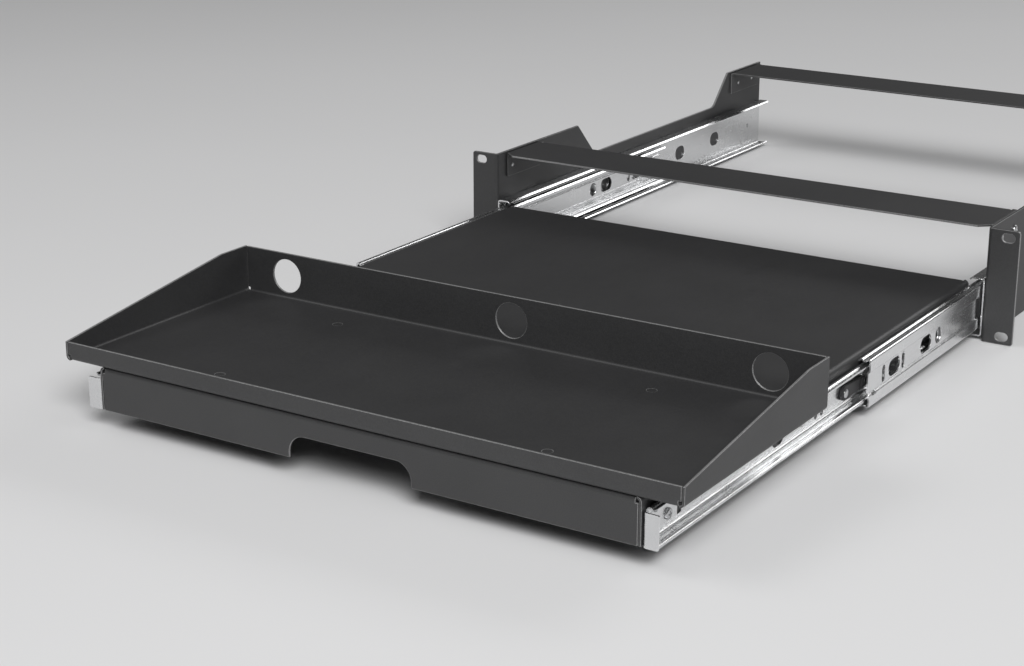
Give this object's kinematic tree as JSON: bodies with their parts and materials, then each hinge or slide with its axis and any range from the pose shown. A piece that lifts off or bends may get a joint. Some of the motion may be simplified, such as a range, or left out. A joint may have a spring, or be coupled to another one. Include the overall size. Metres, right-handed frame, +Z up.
{
  "type": "rack drawer",
  "caption": "Rack drawer with ears for a standard rack, telescopic ball-bearing slides, a sliding shelf and a wide shallow keyboard tray with cable holes in its back wall.",
  "frame": {"origin": "middle of the ear hole pattern, on the back face of the ears that meets the rack rails", "axes": "+X to the right seen from the front, +Y into the rack, +Z up; the drawer pulls out towards -Y"},
  "size_m": [0.4826, 0.998, 0.0882],
  "materials": {
    "black_powder_coat": "fine-textured black powder coat on folded sheet steel",
    "zinc_plate": "bright zinc plate on rolled strip, drawn along its length",
    "cage_steel": "thin bright strip, lightly oiled",
    "ball_steel": "polished bearing steel",
    "lever_plastic": "moulded dark plastic",
    "fastener_steel": "zinc-plated steel"
  },
  "bodies": {
    "frame": {"left_bracket": "black_powder_coat", "right_bracket": "black_powder_coat", "top_tie_plate": "black_powder_coat", "rear_tie_plate": "black_powder_coat", "tie_screws": "fastener_steel", "left_outer_slide_member": "zinc_plate", "right_outer_slide_member": "zinc_plate", "left_slide_screws": "fastener_steel", "right_slide_screws": "fastener_steel"},
    "drawer": {"shelf": "black_powder_coat", "keyboard_tray": "black_powder_coat", "tray_rivets": "black_powder_coat", "left_inner_slide_member": "zinc_plate", "right_inner_slide_member": "zinc_plate", "left_shelf_screws": "fastener_steel", "right_shelf_screws": "fastener_steel", "left_lever_rivet": "fastener_steel", "right_lever_rivet": "fastener_steel"},
    "left_middle": {"left_middle_slide_member": "zinc_plate"},
    "left_outer_cage": {"left_outer_ball_cage": "cage_steel", "left_outer_balls": "ball_steel"},
    "left_inner_cage": {"left_inner_ball_cage": "cage_steel", "left_inner_balls": "ball_steel"},
    "left_lever": {"left_release_lever": "lever_plastic"},
    "right_middle": {"right_middle_slide_member": "zinc_plate"},
    "right_outer_cage": {"right_outer_ball_cage": "cage_steel", "right_outer_balls": "ball_steel"},
    "right_inner_cage": {"right_inner_ball_cage": "cage_steel", "right_inner_balls": "ball_steel"},
    "right_lever": {"right_release_lever": "lever_plastic"}
  },
  "joints": [
    {"name": "drawer_slide", "type": "slide", "parent": "frame", "child": "drawer", "axis": [0, -1, 0], "range_m": [-0.305, 0]},
    {"name": "left_middle_slide", "type": "slide", "parent": "frame", "child": "left_middle", "axis": [0, -1, 0], "range_m": [-0.153, 0.0005]},
    {"name": "left_outer_cage_slide", "type": "slide", "parent": "frame", "child": "left_outer_cage", "axis": [0, -1, 0], "range_m": [-0.0767, 0.0005]},
    {"name": "left_inner_cage_slide", "type": "slide", "parent": "frame", "child": "left_inner_cage", "axis": [0, -1, 0], "range_m": [-0.2293, 0.0005]},
    {"name": "left_lever_press", "type": "hinge", "parent": "drawer", "child": "left_lever", "pos_m": [-0.207, -0.23, -0.0184], "axis": [1, 0, 0], "range_deg": [0, 7], "stiffness_Nm_per_rad": 0.02},
    {"name": "right_middle_slide", "type": "slide", "parent": "frame", "child": "right_middle", "axis": [0, -1, 0], "range_m": [-0.153, 0.0005]},
    {"name": "right_outer_cage_slide", "type": "slide", "parent": "frame", "child": "right_outer_cage", "axis": [0, -1, 0], "range_m": [-0.0767, 0.0005]},
    {"name": "right_inner_cage_slide", "type": "slide", "parent": "frame", "child": "right_inner_cage", "axis": [0, -1, 0], "range_m": [-0.2293, 0.0005]},
    {"name": "right_lever_press", "type": "hinge", "parent": "drawer", "child": "right_lever", "pos_m": [0.207, -0.23, -0.0184], "axis": [1, 0, 0], "range_deg": [0, 7], "stiffness_Nm_per_rad": 0.02}
  ],
  "couplings": [
    {"joint": "left_middle_slide", "follows": "drawer_slide", "ratio": 0.5},
    {"joint": "left_outer_cage_slide", "follows": "drawer_slide", "ratio": 0.25},
    {"joint": "left_inner_cage_slide", "follows": "drawer_slide", "ratio": 0.75},
    {"joint": "right_middle_slide", "follows": "drawer_slide", "ratio": 0.5},
    {"joint": "right_outer_cage_slide", "follows": "drawer_slide", "ratio": 0.25},
    {"joint": "right_inner_cage_slide", "follows": "drawer_slide", "ratio": 0.75}
  ]
}
